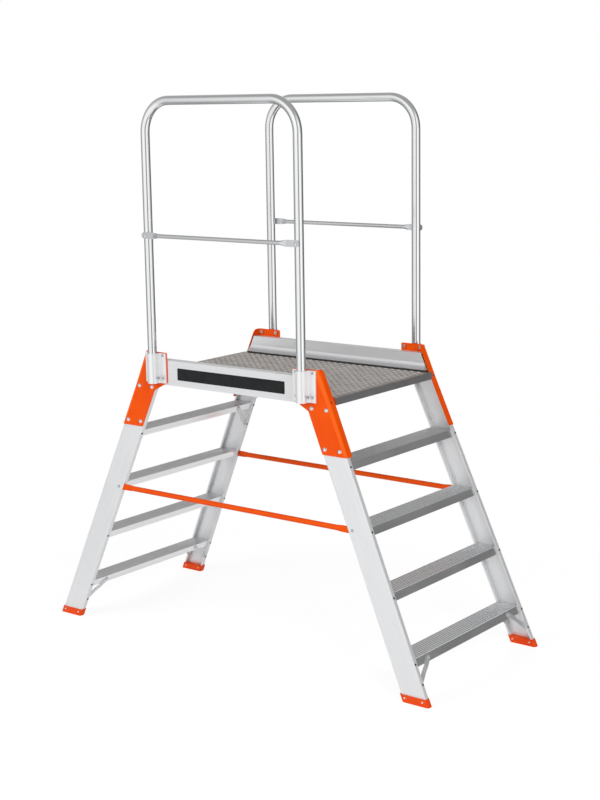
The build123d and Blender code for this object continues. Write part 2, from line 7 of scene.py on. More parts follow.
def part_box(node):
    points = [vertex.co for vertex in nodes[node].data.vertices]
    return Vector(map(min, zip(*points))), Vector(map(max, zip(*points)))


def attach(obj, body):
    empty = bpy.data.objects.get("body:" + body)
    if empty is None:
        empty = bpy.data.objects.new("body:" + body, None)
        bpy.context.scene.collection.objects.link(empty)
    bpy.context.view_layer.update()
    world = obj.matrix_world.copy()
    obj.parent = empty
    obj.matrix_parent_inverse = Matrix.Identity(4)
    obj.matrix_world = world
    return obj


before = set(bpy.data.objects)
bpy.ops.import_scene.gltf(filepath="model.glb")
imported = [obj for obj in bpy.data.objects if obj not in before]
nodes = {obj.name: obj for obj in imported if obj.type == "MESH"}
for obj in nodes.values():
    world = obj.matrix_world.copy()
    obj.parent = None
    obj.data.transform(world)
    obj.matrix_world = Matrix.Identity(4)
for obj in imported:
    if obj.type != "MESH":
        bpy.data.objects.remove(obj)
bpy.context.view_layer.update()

# the platform's own lines, in metres: X up one flight and down the other, Y across, Z up
platform = {
    "deckTop": 1.076,
    "frontAtDeck": 0.470,      # front line of the stiles at deck height
    "halfWidth": 0.358,        # outer face of the side beams
    "beamBottom": 1.048,
    "lean": math.radians(23.5),     # of the stiles from upright, along X
    "flare": math.radians(2.2),     # and across, wider at the floor
    "stileDepth": 0.098,
    "stileWidth": 0.020,
    "treadTops": (0.160, 0.389, 0.618, 0.847),
    "treadLip": 0.028,
    "gussetProud": 0.00315,    # outer face of the gussets in front of the stile
}
flights = (1, -1)    # right, left
hands = (-1, 1)      # near, far


def frontLine(z):
    return platform["frontAtDeck"] + (platform["deckTop"] - z) * math.tan(platform["lean"])


def sideLine(z):
    return platform["halfWidth"] + (platform["beamBottom"] - z) * math.tan(platform["flare"])


def flightNormal(flight):
    return Vector((flight * math.cos(platform["lean"]), 0, math.sin(platform["lean"])))


def sideNormal(hand):
    return Vector((0, hand * math.cos(platform["flare"]), math.sin(platform["flare"])))


# a point at height z, at a depth square to the stile's front face
def stilePoint(flight, y, z, depth):
    return Vector((flight * (frontLine(z) - depth / math.cos(platform["lean"])), y, z))


# camera fitted to the photograph's 600 x 800 frame, angles in degrees
photoCamera = {
    "place": (3.80767, -4.81995, 2.15291),
    "yaw": 37.8069,
    "pitch": 10.9663,      # looking down
    "roll": 0.875,
    "pixelFocal": 1549.44,
    "frameHeight": 800,    # the longer side, which the sensor's width spans
    "sensor": 36.0,        # mm
    "clipEnd": 100,
}
cameraData = bpy.data.cameras.new("photoCamera")
cameraData.sensor_width = photoCamera["sensor"]
cameraData.lens = photoCamera["pixelFocal"] * photoCamera["sensor"] / photoCamera["frameHeight"]
cameraData.clip_end = photoCamera["clipEnd"]
camera = bpy.data.objects.new("photoCamera", cameraData)
bpy.context.scene.collection.objects.link(camera)
tilt = Euler((math.radians(90 - photoCamera["pitch"]), 0, math.radians(photoCamera["yaw"])))
turn = tilt.to_matrix() @ Matrix.Rotation(math.radians(-photoCamera["roll"]), 3, "Z")
camera.matrix_world = Matrix.Translation(photoCamera["place"]) @ turn.to_4x4()
bpy.context.scene.camera = camera
print("camera: lens", round(cameraData.lens, 2), "mm")


# sRGB hex to linear RGBA
def linearOf(hexText):
    channels = [int(hexText[at:at + 2], 16) / 255 for at in (1, 3, 5)]
    return [c / 12.92 if c <= 0.04045 else ((c + 0.055) / 1.055) ** 2.4 for c in channels] + [1.0]


# a linear grey of that brightness
def grey(level):
    return (level, level, level, 1)


# adds a node: inputs are values or sockets to link, settings are the node's own, stops fill a ramp
def addNode(tree, kind, inputs=None, stops=None, **settings):
    made = tree.nodes.new(kind)
    for name, value in settings.items():
        setattr(made, name, value)
    for at, (place, colour) in enumerate(stops or []):
        elements = made.color_ramp.elements
        element = elements[at] if at < 2 else elements.new(place)
        element.position = place
        element.color = colour
    for name, value in (inputs or {}).items():
        if isinstance(value, bpy.types.NodeSocket):
            tree.links.new(value, made.inputs[name])
        else:
            made.inputs[name].default_value = value
    return made


# a new material: its tree and its shader, with the values that hold all over set on the shader
def newFinish(name, metallic, extra=None):
    finish = bpy.data.materials.new(name)
    finish.use_nodes = True
    tree = finish.node_tree
    shader = tree.nodes["Principled BSDF"]
    shader.inputs["Metallic"].default_value = metallic
    for socket, value in (extra or {}).items():
        shader.inputs[socket].default_value = value
    return finish, tree, shader


# mm to a texture scale in repeats per metre
def perMetre(mm):
    return 1000 / mm


# most values of a noise lie inside these spans, so a ramp over one shows both of its ends
wideSpan = (0.3, 0.7)
tightSpan = (0.35, 0.65)


# ramp stops from a dark tone to a light one
def twoTones(dark, light, span):
    return [(span[0], linearOf(dark)), (span[1], linearOf(light))]


# inputs of a range that turns a noise into roughness
def roughnessOver(noise, low, high):
    return {"Value": noise, "From Min": wideSpan[0], "From Max": wideSpan[1], "To Min": low, "To Max": high}


# extruded aluminium, drawn through a die and etched:
# a milky grey sheen with faint straight lines along its length
extrudedLook = {
    "light": "#e6e7e8",
    "dark": "#e0e1e3",
    "metallic": 0.45,      # the etched film scatters about half of the light
    "lineMm": 5,           # real die lines are about 0.5 mm, drawn coarse so that they show
    "lineLengthMm": 1500,
    "lineDetail": 1.5,
    "cloudMm": 160,        # soft patches left by handling
    "cloudDetail": 1.0,
    "smooth": 0.38,
    "rough": 0.44,
    "bumpMm": 0.004,
    "bumpStrength": 0.5,
}


# one on the foot of the skirting boards, where a darker grey is painted in as shade, fading to zero up the
# cove
def footShadeShare(tree, place, look):
    axes = addNode(tree, "ShaderNodeSeparateXYZ", {"Vector": place})
    outward = addNode(tree, "ShaderNodeMath", {0: axes.outputs["Y"]}, operation="ABSOLUTE")
    near = addNode(tree, "ShaderNodeMapRange", {
        "Value": outward.outputs[0], "From Min": look["boardFace"], "From Max": look["footNose"]})
    return near.outputs["Result"]


def extrudedAluminium(name, look, turned=(0, 0, 0)):
    finish, tree, shader = newFinish(name, look["metallic"])
    place = addNode(tree, "ShaderNodeTexCoord").outputs["Object"]
    along = addNode(tree, "ShaderNodeMapping", {"Vector": place, "Rotation": turned})
    lineScale = (perMetre(look["lineLengthMm"]), perMetre(look["lineMm"]), perMetre(look["lineMm"]))
    drawn = addNode(tree, "ShaderNodeMapping", {"Vector": along.outputs[0], "Scale": lineScale})
    lines = addNode(tree, "ShaderNodeTexNoise", {
        "Vector": drawn.outputs[0], "Scale": 1.0, "Detail": look["lineDetail"]})
    clouds = addNode(tree, "ShaderNodeTexNoise", {
        "Vector": place, "Scale": perMetre(look["cloudMm"]), "Detail": look["cloudDetail"]})
    tone = addNode(tree, "ShaderNodeValToRGB", {"Fac": lines.outputs["Fac"]},
                   stops=twoTones(look["dark"], look["light"], wideSpan)).outputs["Color"]
    # painted shade: a darker grey on the foot of the skirting boards, where they meet the deck
    if "paintedFootShade" in look:
        tone = addNode(tree, "ShaderNodeMix", {
            "Factor": footShadeShare(tree, place, look), "A": tone, "B": linearOf(look["paintedFootShade"])},
            data_type="RGBA").outputs["Result"]
    tree.links.new(tone, shader.inputs["Base Color"])
    haze = addNode(tree, "ShaderNodeMapRange", roughnessOver(
        clouds.outputs["Fac"], look["smooth"], look["rough"]))
    tree.links.new(haze.outputs["Result"], shader.inputs["Roughness"])
    bump = addNode(tree, "ShaderNodeBump", {
        "Height": lines.outputs["Fac"], "Strength": look["bumpStrength"], "Distance": look["bumpMm"] / 1000})
    tree.links.new(bump.outputs["Normal"], shader.inputs["Normal"])
    return finish


lean = platform["lean"]
stileRight = extrudedAluminium("extrudedAluminiumRightStile", extrudedLook, (0, lean - math.pi / 2, 0))
stileLeft = extrudedAluminium("extrudedAluminiumLeftStile", extrudedLook, (0, math.pi / 2 - lean, 0))
# the beams get painted shade, a darker grey on the foot of their skirting boards
beamLook = dict(extrudedLook, light="#e3e4e5", dark="#dcdddf", metallic=0.5, smooth=0.30, rough=0.38,
                paintedFootShade="#bfc0c2", boardFace=0.324, footNose=0.315)
beamFinish = extrudedAluminium("extrudedAluminiumBeam", beamLook)
treadLook = dict(extrudedLook, light="#f1f1f2", dark="#e5e6e7", metallic=0.95, smooth=0.28, rough=0.36)
treadFinish = extrudedAluminium("extrudedAluminiumTread", treadLook, (0, 0, math.pi / 2))
socketLook = dict(extrudedLook, light="#ececed", dark="#e6e6e7", lineMm=8, smooth=0.30, rough=0.40)
socketFinish = extrudedAluminium("extrudedAluminiumSocket", socketLook, (0, math.pi / 2, 0))
barLook = dict(extrudedLook, light="#dcdddf", dark="#d0d1d4", metallic=0.6, lineMm=3, smooth=0.30, rough=0.40)
barFinish = extrudedAluminium("drawnAluminiumBar", barLook)
# the mid rails are brighter drawn, so they mirror more and look darker
railLook = dict(barLook, light="#d4d5d7", dark="#cecfd1", metallic=0.9, lineMm=12, smooth=0.24, rough=0.30)
railFinish = extrudedAluminium("drawnAluminiumMidRail", railLook)

# anodised aluminium tube, polished before anodising: bright bands with fine streaks along the tube
tubeLook = {
    "light": "#eeeff0",
    "dark": "#e6e7e8",
    "streakMm": 8,         # real streaks are under 1 mm, drawn coarse so that they show
    "streakLengthMm": 4000,
    "streakDetail": 1.0,
    "roughness": 0.16,
    "roughSpread": 0.01,
}


def anodisedTube(look):
    finish, tree, shader = newFinish("anodisedAluminiumTube", 1.0)
    place = addNode(tree, "ShaderNodeTexCoord").outputs["Object"]
    # long along X and Z, so the streaks follow the legs and the top rail alike
    scale = (perMetre(look["streakLengthMm"]), perMetre(look["streakMm"]), perMetre(look["streakLengthMm"]))
    drawn = addNode(tree, "ShaderNodeMapping", {"Vector": place, "Scale": scale})
    streaks = addNode(tree, "ShaderNodeTexNoise", {
        "Vector": drawn.outputs[0], "Scale": 1.0, "Detail": look["streakDetail"]})
    tone = addNode(tree, "ShaderNodeValToRGB", {"Fac": streaks.outputs["Fac"]},
                   stops=twoTones(look["dark"], look["light"], tightSpan))
    tree.links.new(tone.outputs["Color"], shader.inputs["Base Color"])
    haze = addNode(tree, "ShaderNodeMapRange", roughnessOver(
        streaks.outputs["Fac"], look["roughness"] - look["roughSpread"],
        look["roughness"] + look["roughSpread"]))
    tree.links.new(haze.outputs["Result"], shader.inputs["Roughness"])
    return finish


tubeFinish = anodisedTube(tubeLook)

# rolled aluminium tread plate: dull, slightly warm grey, darker in the hollows and lighter on the bars
plateLook = {
    "hollowLight": "#bdb6b1",
    "hollowDark": "#9c9492",
    "barLight": "#f2ede9",
    "barDark": "#e3ded9",
    "fold": "#a2a2a3",     # painted reflection: the folded lips get a neutral grey in place of the warm tone of the top
    "foldFrom": 0.003,     # this far below the top the painted neutral grey begins
    "foldFull": 0.006,
    "stainMm": 60,
    "stainDetail": 5.0,
    "grainMm": 4,          # the rolled grain is finer, drawn coarse so that it shows
    "grainDetail": 2.0,
    "grainShare": 0.35,
    "smooth": 0.42,
    "rough": 0.58,
    "bumpMm": 0.05,
    "bumpStrength": 0.4,
}


def rolledPlate(name, light, dark, look, folded=False):
    finish, tree, shader = newFinish(name, 1.0)
    place = addNode(tree, "ShaderNodeTexCoord").outputs["Object"]
    stains = addNode(tree, "ShaderNodeTexNoise", {
        "Vector": place, "Scale": perMetre(look["stainMm"]), "Detail": look["stainDetail"]})
    grain = addNode(tree, "ShaderNodeTexNoise", {
        "Vector": place, "Scale": perMetre(look["grainMm"]), "Detail": look["grainDetail"]})
    both = addNode(tree, "ShaderNodeMix", {
        "Factor": look["grainShare"], "A": stains.outputs["Fac"], "B": grain.outputs["Fac"]})
    tone = addNode(tree, "ShaderNodeValToRGB", {"Fac": both.outputs["Result"]},
                   stops=twoTones(dark, light, tightSpan)).outputs["Color"]
    # painted reflection: below the top, the folded lips turn to a neutral grey
    if folded:
        axes = addNode(tree, "ShaderNodeSeparateXYZ", {"Vector": place})
        below = addNode(tree, "ShaderNodeMapRange", {
            "Value": axes.outputs["Z"], "From Min": platform["deckTop"] - look["foldFrom"],
            "From Max": platform["deckTop"] - look["foldFull"]})
        tone = addNode(tree, "ShaderNodeMix", {
            "Factor": below.outputs["Result"], "A": tone, "B": linearOf(look["fold"])},
            data_type="RGBA").outputs["Result"]
    tree.links.new(tone, shader.inputs["Base Color"])
    haze = addNode(tree, "ShaderNodeMapRange", roughnessOver(
        both.outputs["Result"], look["rough"], look["smooth"]))
    tree.links.new(haze.outputs["Result"], shader.inputs["Roughness"])
    bump = addNode(tree, "ShaderNodeBump", {
        "Height": grain.outputs["Fac"], "Strength": look["bumpStrength"], "Distance": look["bumpMm"] / 1000})
    tree.links.new(bump.outputs["Normal"], shader.inputs["Normal"])
    return finish


plateFinish = rolledPlate("rolledTreadPlate", plateLook["hollowLight"], plateLook["hollowDark"], plateLook,
                          folded=True)
barTopFinish = rolledPlate("lighterTreadBars", plateLook["barLight"], plateLook["barDark"], plateLook)

# what the coloured skins share: powder, moulded plastic and film
skinNoise = {"driftDetail": 3.0, "peelDetail": 1.0, "bumpStrength": 0.5}
# polyester powder coat, sprayed and baked: even orange with a slight orange-peel skin and soft highlights
powderLook = {
    "light": "#ea5300",
    "dark": "#e64c00",
    "driftMm": 70,
    "peelMm": 3,           # real orange peel is about 1 mm, drawn coarse so that it shows
    "roughness": 0.38,
    "roughSpread": 0.06,
    "bumpMm": 0.04,
    "ior": 1.5,
    "gloss": 0.12,
}
# moulded polypropylene: a duller, redder orange with a fine spark-eroded grain
mouldedLook = {
    "light": "#ed4e0c",
    "dark": "#e54607",
    "driftMm": 40,
    "peelMm": 2.5,         # real grain is about 0.3 mm, drawn coarse so that it shows
    "roughness": 0.50,
    "roughSpread": 0.06,
    "bumpMm": 0.05,
    "ior": 1.49,
    "gloss": 0.2,
}
# a lighter orange is painted along the gussets' bend: a painted highlight where the bend catches the light
bendHighlightLook = {
    "paintedHighlight": "#f56014",
    "width": 0.0100,       # from the sharp corner, along both sides together
    "blur": 0.0012,
}


# one near the corner of the gussets' two sides, fading to zero beside it
def bendShare(tree, place, look):
    front = flightNormal(1)
    side = sideNormal(1)
    edge = Vector((platform["frontAtDeck"], 0, platform["deckTop"])).dot(front) + platform["gussetProud"]
    flank = Vector((0, platform["halfWidth"], platform["beamBottom"])).dot(side) + platform["gussetProud"]
    mirrored = addNode(tree, "ShaderNodeVectorMath", {0: place}, operation="ABSOLUTE")
    reach = addNode(tree, "ShaderNodeVectorMath", {0: mirrored.outputs[0], 1: front + side},
                    operation="DOT_PRODUCT")
    near = addNode(tree, "ShaderNodeMapRange", {
        "Value": reach.outputs["Value"], "From Min": edge + flank - look["width"] - look["blur"],
        "From Max": edge + flank - look["width"] + look["blur"]})
    return near.outputs["Result"]


def colouredSkin(name, look, bend=None):
    finish, tree, shader = newFinish(name, 0.0, {"IOR": look["ior"], "Specular IOR Level": look["gloss"]})
    place = addNode(tree, "ShaderNodeTexCoord").outputs["Object"]
    drift = addNode(tree, "ShaderNodeTexNoise", {
        "Vector": place, "Scale": perMetre(look["driftMm"]), "Detail": skinNoise["driftDetail"]})
    peel = addNode(tree, "ShaderNodeTexNoise", {
        "Vector": place, "Scale": perMetre(look["peelMm"]), "Detail": skinNoise["peelDetail"]})
    tone = addNode(tree, "ShaderNodeValToRGB", {"Fac": drift.outputs["Fac"]},
                   stops=twoTones(look["dark"], look["light"], tightSpan)).outputs["Color"]
    # painted highlight: the colour turns to a lighter orange along the gussets' bend
    if bend:
        tone = addNode(tree, "ShaderNodeMix", {
            "Factor": bendShare(tree, place, bend), "A": tone, "B": linearOf(bend["paintedHighlight"])},
            data_type="RGBA").outputs["Result"]
    tree.links.new(tone, shader.inputs["Base Color"])
    haze = addNode(tree, "ShaderNodeMapRange", roughnessOver(
        drift.outputs["Fac"], look["roughness"] - look["roughSpread"],
        look["roughness"] + look["roughSpread"]))
    tree.links.new(haze.outputs["Result"], shader.inputs["Roughness"])
    bump = addNode(tree, "ShaderNodeBump", {
        "Height": peel.outputs["Fac"], "Strength": skinNoise["bumpStrength"],
        "Distance": look["bumpMm"] / 1000})
    tree.links.new(bump.outputs["Normal"], shader.inputs["Normal"])
    return finish


powderFinish = colouredSkin("orangePowderCoat", powderLook)
# the gussets carry the painted highlight along their bend
gussetFinish = colouredSkin("orangePowderCoatOnFoldedSheet", powderLook, bendHighlightLook)
mouldedFinish = colouredSkin("mouldedOrangePolypropylene", mouldedLook)

# zinc-plated steel, barrel plated and passivated: bluish grey with cloudy patches
zincLook = {
    "light": "#f0f2f4",
    "dark": "#dcdee1",
    "cloudMm": 4,
    "cloudDetail": 3.0,
    "smooth": 0.20,
    "rough": 0.30,
}
# plain zinc that has gone dull: light grey without the blue
dullZincLook = dict(zincLook, light="#cdcfd2", dark="#b2b4b8", smooth=0.30, rough=0.42)
# blackened steel of the small screws: dark grey with a dull shine
blackScrewLook = dict(zincLook, light="#77787b", dark="#56575a", cloudMm=3, smooth=0.35, rough=0.50)


def platedSteel(name, look):
    finish, tree, shader = newFinish(name, 1.0)
    place = addNode(tree, "ShaderNodeTexCoord").outputs["Object"]
    clouds = addNode(tree, "ShaderNodeTexNoise", {
        "Vector": place, "Scale": perMetre(look["cloudMm"]), "Detail": look["cloudDetail"]})
    tone = addNode(tree, "ShaderNodeValToRGB", {"Fac": clouds.outputs["Fac"]},
                   stops=twoTones(look["dark"], look["light"], wideSpan))
    tree.links.new(tone.outputs["Color"], shader.inputs["Base Color"])
    haze = addNode(tree, "ShaderNodeMapRange", roughnessOver(
        clouds.outputs["Fac"], look["smooth"], look["rough"]))
    tree.links.new(haze.outputs["Result"], shader.inputs["Roughness"])
    return finish


zincFinish = platedSteel("zincPlatedSteel", zincLook)
dullZincFinish = platedSteel("dulledZincPlatedSteel", dullZincLook)
blackScrewFinish = platedSteel("blackenedSteel", blackScrewLook)

# black vinyl film, calendered: satin, with faint clouding where it was rubbed down
vinylLook = {
    "light": "#1d1e20",
    "dark": "#131415",
    "driftMm": 25,
    "peelMm": 3,           # calender marks are finer, drawn coarse so that they show
    "roughness": 0.42,
    "roughSpread": 0.10,
    "bumpMm": 0.01,
    "ior": 1.53,
    "gloss": 0.2,
}
vinylFinish = colouredSkin("blackVinylFilm", vinylLook)

# which finish each kind of CAD node gets, by the longest start that its name has
finishByName = {
    "stile_near_right": stileRight,
    "stile_far_right": stileRight,
    "stile_near_left": stileLeft,
    "stile_far_left": stileLeft,
    "shoe": mouldedFinish,
    "tread": treadFinish,
    "side_beam": beamFinish,
    "deck_plate": plateFinish,
    "deck_bearer": beamFinish,
    "gusset": gussetFinish,
    "post_socket": socketFinish,
    "handrail": tubeFinish,
    "mid_rail": railFinish,
    "strut": powderFinish,
    "right_": barFinish,            # the knee braces
    "left_": barFinish,
    "gusset_bolts": zincFinish,
    "gusset_nuts": stileRight,      # low nuts, as dull as the stile they sit in
    "socket_bolts": dullZincFinish,
    "socket_nuts": zincFinish,
    "strut_bolts": dullZincFinish,
    "strut_nuts": dullZincFinish,
    "post_clamp": dullZincFinish,
    "rail_rivets": zincFinish,
}
for nodeName, part in nodes.items():
    starts = [start for start in finishByName if nodeName.startswith(start)]
    part.data.materials.clear()
    part.data.materials.append(finishByName[max(starts, key=len)])
print("finishes:", len(bpy.data.materials), "materials on", len(nodes), "nodes")


# turns a filled bmesh into a piece that rides on a body
def makePiece(name, shape, finish, body):
    bmesh.ops.recalc_face_normals(shape, faces=shape.faces)
    mesh = bpy.data.meshes.new(name)
    shape.to_mesh(mesh)
    shape.free()
    mesh.materials.append(finish)
    piece = bpy.data.objects.new(name, mesh)
    bpy.context.scene.collection.objects.link(piece)
    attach(piece, body)


# the raised bars of the deck: blocks of five, laid along both diagonals in turn
deckBars = {
    "blockPitch": 0.0226,
    "barsInBlock": 5,
    "barLength": 0.0190,
    "barWidth": 0.0024,
    "barHeight": 0.0014,
    "shoulder": 0.55,      # share of the half length at which a bar starts to narrow
    "ridge": 0.6,          # share of the half length that the top edge has
    "endMargin": 0.009,
    "sideMargin": 0.008,
    "sunk": 0.0002,
}


# one bar: a low ridge on a six-sided base with pointed ends
def addBar(shape, middle, along, look):
    across = Vector((-along.y, along.x, 0))
    halfLong = look["barLength"] / 2
    halfWide = look["barWidth"] / 2
    shoulder = look["shoulder"]
    outline = [(-1, 0), (-shoulder, -1), (shoulder, -1), (1, 0), (shoulder, 1), (-shoulder, 1)]
    low = middle + Vector((0, 0, -look["sunk"]))
    high = middle + Vector((0, 0, look["barHeight"]))
    base = [shape.verts.new(low + along * (a * halfLong) + across * (b * halfWide)) for a, b in outline]
    ridge = [shape.verts.new(high + along * (a * halfLong)) for a in (-look["ridge"], look["ridge"])]
    shape.faces.new(list(reversed(base)))
    shape.faces.new((base[1], base[2], ridge[1], ridge[0]))
    shape.faces.new((base[4], base[5], ridge[0], ridge[1]))
    for corner in ((0, 1, 0), (5, 0, 0), (2, 3, 1), (3, 4, 1)):
        shape.faces.new((base[corner[0]], base[corner[1]], ridge[corner[2]]))


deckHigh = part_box("deck_plate")[1]
reachX = deckHigh.x - deckBars["endMargin"]
reachY = deckHigh.y - deckBars["sideMargin"]
downhill = Vector((1, -1, 0)).normalized()
uphill = Vector((1, 1, 0)).normalized()
barStep = deckBars["blockPitch"] / deckBars["barsInBlock"]
barShape = bmesh.new()
barCount = 0
blockReach = int((reachX + reachY) / deckBars["blockPitch"]) + 1
for row in range(-blockReach, blockReach + 1):
    for column in range(-blockReach, blockReach + 1):
        middle = (downhill * row + uphill * column) * deckBars["blockPitch"]
        along, across = (downhill, uphill) if (row + column) % 2 else (uphill, downhill)
        for bar in range(deckBars["barsInBlock"]):
            offset = (bar - (deckBars["barsInBlock"] - 1) / 2) * barStep
            barMiddle = middle + across * offset
            tip = along * (deckBars["barLength"] / 2)
            ends = (barMiddle - tip, barMiddle + tip)
            if all(abs(end.x) < reachX and abs(end.y) < reachY for end in ends):
                barMiddle.z = deckHigh.z
                addBar(barShape, barMiddle, along, deckBars)
                barCount += 1
print("deck bars:", barCount)
makePiece("deckBars", barShape, barTopFinish, "frame")

# small screws: pan heads with a hexagon socket
smallScrew = {
    "steps": 18,
    "profile": ((1.0, -0.1), (1.0, 0.35), (0.86, 0.78), (0.62, 1.0)),   # share of radius, share of height
    "socketShare": 0.42,
    "socketFloor": 0.45,
}


def addScrew(shape, seat, normal, size, look=smallScrew):
    place = Matrix.Translation(seat) @ normal.to_track_quat("Z", "Y").to_matrix().to_4x4()
    radius = size["diameter"] / 2
    height = size["height"]
    angles = [2 * math.pi * step / look["steps"] for step in range(look["steps"])]
    rings = []
    for share, rise in look["profile"]:
        ring = [(share * radius * math.cos(a), share * radius * math.sin(a), rise * height) for a in angles]
        rings.append([shape.verts.new(place @ Vector(point)) for point in ring])
    for rise in (1.0, look["socketFloor"]):
        ring = []
        for a in angles:
            # how far out the hexagon's side is at this angle
            flat = look["socketShare"] * radius / math.cos((a % (math.pi / 3)) - math.pi / 6)
            ring.append((flat * math.cos(a), flat * math.sin(a), rise * height))
        rings.append([shape.verts.new(place @ Vector(point)) for point in ring])
    count = look["steps"]
    for lower, upper in zip(rings, rings[1:]):
        for step in range(count):
            after = (step + 1) % count
            shape.faces.new((lower[step], lower[after], upper[after], upper[step]))
    shape.faces.new(list(reversed(rings[0])))
    shape.faces.new(rings[-1])


# screws through the stiles' flanges into the treads' lips
treadScrew = {"diameter": 0.009, "height": 0.0022, "inset": 0.009}
screwShape = bmesh.new()
for flight in flights:
    for hand in hands:
        for top in platform["treadTops"]:
            z = top - platform["treadLip"] / 2
            y = hand * (sideLine(z) - treadScrew["inset"])
            for depth, facing in ((0, 1), (platform["stileDepth"], -1)):
                seat = stilePoint(flight, y, z, depth)
                addScrew(screwShape, seat, facing * flightNormal(flight), treadScrew)
makePiece("treadScrews", screwShape, blackScrewFinish, "frame")

# screws of the knee braces: one on the strap at the lip, one on the flange over its lower end
braceScrew = {
    "diameter": 0.009,
    "height": 0.0022,
    "reach": 0.104,        # the screw at the lip, inwards from the stile's outer side
    "inset": 0.0139,       # the screw on the flange, likewise
    "lowDrop": 0.084,      # the screw on the flange, below the tops of the lowest treads
    "highDrop": 0.104,     # and below those of the top treads
    "chamber": 0.007,      # depth of the stile's hollow flange, in front of the lip
    "strap": 0.003,
}
lipShape = bmesh.new()
flangeShape = bmesh.new()
lowest, highest = platform["treadTops"][0], platform["treadTops"][-1]
for flight in flights:
    for hand in hands:
        straps = [(lowest, braceScrew["lowDrop"], False), (lowest, braceScrew["lowDrop"], True)]
        if flight == -hand:     # the top treads are braced on one side only
            straps.append((highest, braceScrew["highDrop"], True))
        for top, drop, atRear in straps:
            facing = -1 if atRear else 1
            strapFace = braceScrew["chamber"] - braceScrew["strap"]
            strapDepth = platform["stileDepth"] - strapFace if atRear else strapFace
            flangeDepth = platform["stileDepth"] if atRear else 0
            upperZ = top - platform["treadLip"] / 2
            lowerZ = top - drop
            upperY = hand * (sideLine(upperZ) - braceScrew["reach"])
            lowerY = hand * (sideLine(lowerZ) - braceScrew["inset"])
            for shape, y, z, depth in (
                (lipShape, upperY, upperZ, strapDepth),
                (flangeShape, lowerY, lowerZ, flangeDepth),
            ):
                seat = stilePoint(flight, y, z, depth)
                addScrew(shape, seat, facing * flightNormal(flight), braceScrew)
makePiece("braceLipScrews", lipShape, barFinish, "frame")
makePiece("braceFlangeScrews", flangeShape, blackScrewFinish, "frame")

# screws that hold the shoes, two on each long side
shoeScrew = {
    "diameter": 0.008,
    "height": 0.0018,
    "z": 0.017,
    "setbacks": (0.015, 0.092),    # behind the stile's front line
    "wall": 0.00415,               # from the stile's side to the shoe's outer face
}
innerScrew = dict(shoeScrew, diameter=0.0065)    # smaller heads between the flight's stiles
screwShape = bmesh.new()
for flight in flights:
    for hand in hands:
        for setback in shoeScrew["setbacks"]:
            z = shoeScrew["z"]
            x = flight * (frontLine(z) - setback)
            outer = Vector((x, hand * sideLine(z), z)) + sideNormal(hand) * shoeScrew["wall"]
            inner = outer - sideNormal(hand) * (platform["stileWidth"] + 2 * shoeScrew["wall"])
            addScrew(screwShape, outer, sideNormal(hand), shoeScrew)
            addScrew(screwShape, inner, -sideNormal(hand), innerScrew)
makePiece("shoeScrews", screwShape, zincFinish, "frame")

# one screw through each gusset's fold, at the end of the side beam
foldScrew = {"diameter": 0.007, "height": 0.0022, "z": 1.060, "y": 0.3432}
screwShape = bmesh.new()
for flight in flights:
    for hand in hands:
        seat = stilePoint(flight, hand * foldScrew["y"], foldScrew["z"], -platform["gussetProud"])
        addScrew(screwShape, seat, flightNormal(flight), foldScrew)
makePiece("foldScrews", screwShape, blackScrewFinish, "frame")
print("screws: treads, braces, shoes and folds")

# the label on the near beam, left plain
labelPlate = {
    "left": -0.264,
    "right": 0.274,
    "low": 1.073,
    "high": 1.121,
    "corner": 0.004,
    "cornerSteps": 5,
    "thickness": 0.0006,
}


def addLabel(shape, look):
    face = -platform["halfWidth"]
    outline = []
    centres = (
        (look["right"] - look["corner"], look["high"] - look["corner"], 0),
        (look["left"] + look["corner"], look["high"] - look["corner"], 90),
        (look["left"] + look["corner"], look["low"] + look["corner"], 180),
        (look["right"] - look["corner"], look["low"] + look["corner"], 270),
    )
    for x, z, start in centres:
        for step in range(look["cornerSteps"] + 1):
            angle = math.radians(start + 90 * step / look["cornerSteps"])
            outline.append((x + look["corner"] * math.cos(angle), z + look["corner"] * math.sin(angle)))
    back = [shape.verts.new((x, face, z)) for x, z in outline]
    front = [shape.verts.new((x, face - look["thickness"], z)) for x, z in outline]
    shape.faces.new(back)
    shape.faces.new(list(reversed(front)))
    for step in range(len(outline)):
        after = (step + 1) % len(outline)
        shape.faces.new((back[step], back[after], front[after], front[step]))


labelShape = bmesh.new()
addLabel(labelShape, labelPlate)
makePiece("labelPlate", labelShape, vinylFinish, "frame")
print("label: plain black film on the near beam")

# studio: white to the camera, while what the metal mirrors is bright in front and at the right,
# with a dark gap where the camera stands, and dim at the back and the left
studio = {
    # compass angle in degrees from +X towards +Y, brightness below and above the horizon
    "rounds": (
        (-180, 0.26, 0.42),
        (-160, 0.30, 0.44),
        (-145, 0.44, 0.50),
        (-135, 0.69, 0.76),
        (-122, 1.02, 1.02),
        (-108, 1.05, 1.15),
        (-80, 1.05, 1.15),
        (-64, 0.95, 1.05),
        (-57, 0.52, 0.65),
        (-50, 0.16, 0.25),
        (-41, 0.16, 0.25),
        (-35, 0.52, 0.65),
        (-27, 1.15, 1.10),
        (5, 1.25, 1.05),
        (28, 0.66, 0.32),
        (42, 0.20, 0.11),
        (54, 0.07, 0.06),
        (98, 0.06, 0.24),
        (114, 0.14, 0.68),
        (127, 0.20, 0.50),
        (145, 0.24, 0.70),
        (160, 0.26, 0.50),
        (180, 0.26, 0.42),
    ),
    "horizonBlur": 0.08,
    "overhead": 0.35,           # brightness of the ceiling, and the rise of the ray at which it takes over
    "overheadFrom": 0.36,
    "overheadTo": 0.85,
    "whiteShare": 0.08,         # how much of the white backdrop the metal sees as well
}
white = grey(1)
scene = bpy.context.scene
scene.view_settings.view_transform = "Standard"
world = bpy.data.worlds.new("whiteStudio")
scene.world = world
world.use_nodes = True
tree = world.node_tree
sky = tree.nodes["Background"]
